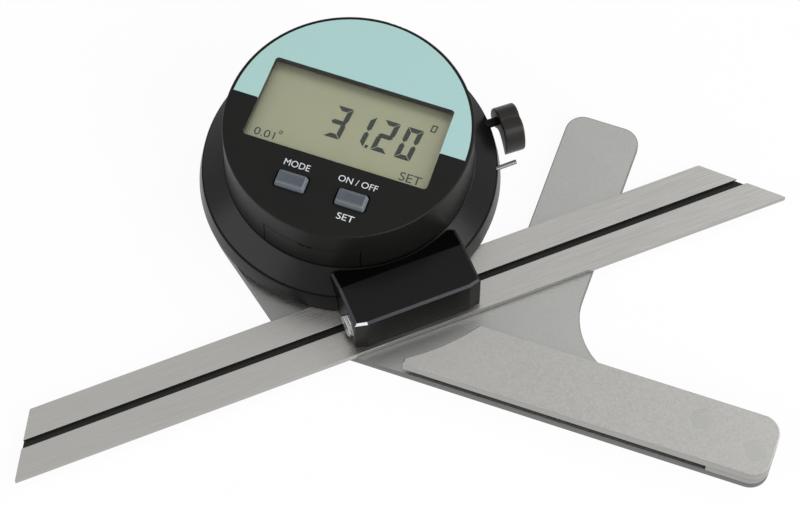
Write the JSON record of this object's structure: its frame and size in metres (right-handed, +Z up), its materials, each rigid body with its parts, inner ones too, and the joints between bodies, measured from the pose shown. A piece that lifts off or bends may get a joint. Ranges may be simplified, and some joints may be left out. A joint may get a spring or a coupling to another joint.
{
  "type": "digital angle finder with stock, fixed arm and sliding blade",
  "caption": "Digital protractor: a turning head on a flat stock with a fixed arm clamps a long sliding blade, under a round display.",
  "frame": {"origin": "where the head's turning axis meets the underside of the base plate", "axes": "+X along the stock bar away from the head, +Y along the fixed arm, +Z up out of the display"},
  "size_m": [0.1683, 0.1385, 0.031],
  "materials": {
    "ground_steel": "ground flat, fine grain",
    "rivet_steel": "ground flush",
    "screw_steel": "turned",
    "bright_steel": "turned, bright",
    "hub_metal": "turned",
    "black_metal": "satin black",
    "lever_metal": "satin black",
    "case_plastic": "fine satin",
    "label_film": "printed film, satin",
    "window_clear": "clear, polished",
    "display_face": "grey-green display",
    "button_rubber": "satin blue-grey",
    "board_laminate": "green laminate",
    "chip_black": "moulded",
    "connector_rubber": "soft",
    "cell_steel": "plated",
    "contact_brass": "sprung strip",
    "washer_polymer": "low friction",
    "encoder_laminate": "laminate with copper fingers",
    "shoe_brass": "turned"
  },
  "bodies": {
    "stock": {"base_plate": "ground_steel", "stock_spacer": "ground_steel", "stock_lip": "ground_steel", "stock_rivets": "rivet_steel", "pivot_hub": "hub_metal", "hub_screws": "screw_steel", "thrust_washer": "washer_polymer", "case_floor_plate": "case_plastic", "floor_screws": "screw_steel", "encoder_stator": "encoder_laminate", "front_case": "case_plastic", "case_screws": "screw_steel", "label_panel": "label_film", "display_window": "window_clear", "display_panel": "display_face", "panel_connectors": "connector_rubber", "circuit_board": "board_laminate", "board_screws": "screw_steel", "display_chip": "chip_black", "button_switches": "chip_black", "battery_cell": "cell_steel", "battery_tray": "case_plastic", "battery_contacts": "contact_brass"},
    "turning_head": {"turret_ring": "black_metal", "encoder_rotor": "encoder_laminate", "index_pin": "bright_steel", "brake_shoe": "shoe_brass", "clamp_housing": "black_metal", "clamp_screws": "screw_steel", "clamp_hook": "bright_steel"},
    "sliding_blade": {"blade": "ground_steel"},
    "lock": {"lock_lever": "lever_metal", "lock_screw": "black_metal"},
    "clamp_cam": {"clamp_spindle": "bright_steel"},
    "left_button": {"mode_button": "button_rubber"},
    "right_button": {"set_button": "button_rubber"}
  },
  "joints": [
    {"name": "head_turn", "type": "hinge", "parent": "stock", "child": "turning_head", "pos_m": [0, 0, 0.0093], "axis": [0, 0, 1], "continuous": true},
    {"name": "blade_slide", "type": "slide", "parent": "turning_head", "child": "sliding_blade", "axis": [0.748, 0.6637, 0], "range_m": [-0.06, 0.075]},
    {"name": "lock_turn", "type": "hinge", "parent": "turning_head", "child": "lock", "pos_m": [0.02963, 0.02363, 0.00922], "axis": [-0.7817, -0.6236, 0], "range_deg": [0, 90]},
    {"name": "clamp_turn", "type": "hinge", "parent": "turning_head", "child": "clamp_cam", "pos_m": [0.01431, -0.04024, 0.0092], "axis": [0.748, 0.6637, 0], "range_deg": [0, 90]},
    {"name": "mode_press", "type": "slide", "parent": "stock", "child": "left_button", "axis": [0, 0, -1], "range_m": [0, 0.0006], "stiffness_N_per_m": 300, "springref_m": -0.0003},
    {"name": "set_press", "type": "slide", "parent": "stock", "child": "right_button", "axis": [0, 0, -1], "range_m": [0, 0.0006], "stiffness_N_per_m": 300, "springref_m": -0.0003}
  ]
}
